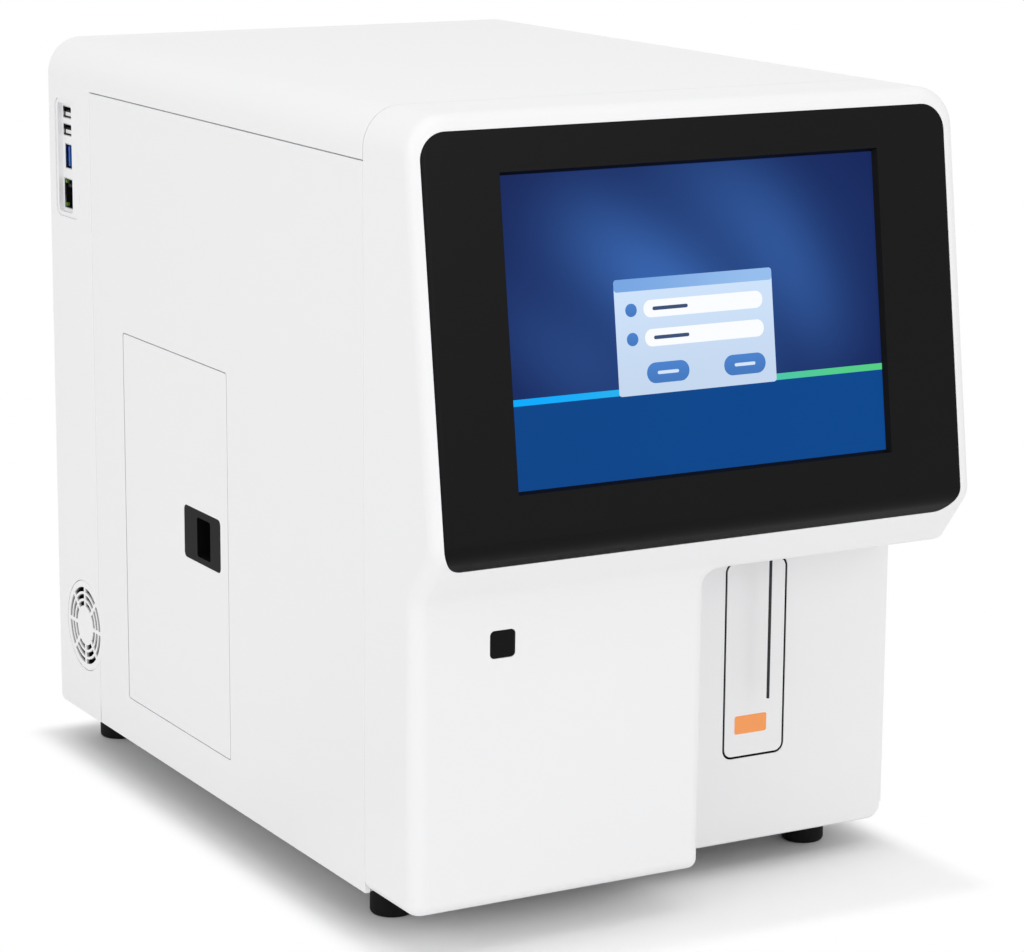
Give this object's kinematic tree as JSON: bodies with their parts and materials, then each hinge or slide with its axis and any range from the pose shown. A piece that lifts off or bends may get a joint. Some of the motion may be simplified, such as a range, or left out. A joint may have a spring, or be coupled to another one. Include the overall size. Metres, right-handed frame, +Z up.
{
  "type": "hematology analyzer",
  "caption": "Bench-top blood cell analyzer in a white housing with a tilted touch screen, an open sampling alcove with probe and key, side door, ports and fan grille.",
  "frame": {"origin": "under the middle of the machine, on the surface that it stands on", "axes": "+Z up, the screen faces -Y, +X to the right as seen from the front"},
  "size_m": [0.31, 0.4754, 0.413],
  "materials": {
    "white_housing": "satin",
    "black_gloss": "gloss",
    "black_plastic": "satin",
    "screen_glass": "gloss",
    "module_metal": "satin",
    "sheet_steel": "satin",
    "white_sheet": "satin",
    "steel": "polished",
    "rubber": "matte",
    "clear_acrylic": "gloss",
    "bottle_plastic": "satin",
    "cap_blue": "satin",
    "tube_clear": "satin",
    "aluminium": "satin",
    "brass": "satin",
    "board_green": "satin",
    "blue_plastic": "satin",
    "motor_black": "satin",
    "belt_rubber": "matte"
  },
  "bodies": {
    "housing": {"front_cover": "white_housing", "hood": "white_housing", "fan_grille": "white_housing", "port_bay": "white_housing", "left_side_panel": "white_sheet", "right_side_panel": "white_sheet", "rear_panel": "white_sheet", "base_plate": "sheet_steel", "fluidics_plate": "sheet_steel", "card_plate": "sheet_steel", "deck": "sheet_steel", "reagent_bay": "sheet_steel", "display_bracket": "sheet_steel", "bath_bracket": "sheet_steel", "syringe_frame": "sheet_steel", "screen_bezel": "black_gloss", "key_housing": "black_plastic", "button_housing": "black_plastic", "key_switch": "black_plastic", "fan_frame": "black_plastic", "power_inlet": "black_plastic", "catch_magnet": "black_plastic", "hinge_brackets": "black_plastic", "wash_block": "black_plastic", "valve_bank": "black_plastic", "touch_glass": "screen_glass", "display_module": "module_metal", "usb_ports": "module_metal", "ethernet_port": "module_metal", "usb3_port": "blue_plastic", "probe_guide": "steel", "idler_pin": "steel", "ground_stud": "steel", "feet": "rubber", "probe_belt": "belt_rubber", "counting_baths": "clear_acrylic", "syringe_barrels": "clear_acrylic", "reagent_bottles": "bottle_plastic", "bottle_caps": "cap_blue", "pickup_tubes": "tube_clear", "optical_unit": "aluminium", "fluid_fittings": "brass", "main_board": "board_green", "probe_motor": "motor_black", "syringe_motors": "motor_black", "vacuum_pump": "motor_black"},
    "door": {"side_door": "white_housing", "hinge_pins": "steel", "door_pull": "black_plastic", "strike_plate": "steel"},
    "key": {"aspirate_key": "white_housing"},
    "button": {"power_button": "black_gloss"},
    "fan_wheel": {"fan_rotor": "black_plastic"},
    "probe_slide": {"probe_lift": "aluminium", "sample_probe": "steel"},
    "drive_wheel": {"drive_pulley": "aluminium"},
    "idler_wheel": {"idler_pulley": "aluminium"},
    "rocker": {"rocker_switch": "black_plastic"},
    "sample_piston": {"sample_plunger": "steel"},
    "diluent_piston": {"diluent_plunger": "steel"}
  },
  "joints": [
    {"name": "door_hinge", "type": "hinge", "parent": "housing", "child": "door", "pos_m": [-0.1502, 0.11771, 0.1538], "axis": [0, 0, -1], "range_deg": [0, 110]},
    {"name": "key_press", "type": "slide", "parent": "housing", "child": "key", "axis": [0, 1, 0], "range_m": [0, 0.0025], "stiffness_N_per_m": 500},
    {"name": "button_press", "type": "slide", "parent": "housing", "child": "button", "axis": [0, 1, 0], "range_m": [0, 0.0015], "stiffness_N_per_m": 800},
    {"name": "fan_spin", "type": "hinge", "parent": "housing", "child": "fan_wheel", "pos_m": [-0.145, 0.19421, 0.0762], "axis": [1, 0, 0], "continuous": true},
    {"name": "probe_slide_z", "type": "slide", "parent": "housing", "child": "probe_slide", "axis": [0, 0, 1], "range_m": [0, 0.092]},
    {"name": "drive_spin", "type": "hinge", "parent": "housing", "child": "drive_wheel", "pos_m": [0.09225, -0.14529, 0.345], "axis": [1, 0, 0], "continuous": true},
    {"name": "idler_spin", "type": "hinge", "parent": "housing", "child": "idler_wheel", "pos_m": [0.09225, -0.14529, 0.2075], "axis": [1, 0, 0], "continuous": true},
    {"name": "rocker_tip", "type": "hinge", "parent": "housing", "child": "rocker", "pos_m": [0.088, 0.21571, 0.108], "axis": [1, 0, 0], "range_deg": [0, 16]},
    {"name": "sample_piston_slide", "type": "slide", "parent": "housing", "child": "sample_piston", "axis": [0, 0, 1], "range_m": [0, 0.036]},
    {"name": "diluent_piston_slide", "type": "slide", "parent": "housing", "child": "diluent_piston", "axis": [0, 0, 1], "range_m": [0, 0.036]}
  ],
  "couplings": [
    {"joint": "drive_spin", "follows": "probe_slide_z", "rad_per_m": -125},
    {"joint": "idler_spin", "follows": "probe_slide_z", "rad_per_m": -125}
  ]
}
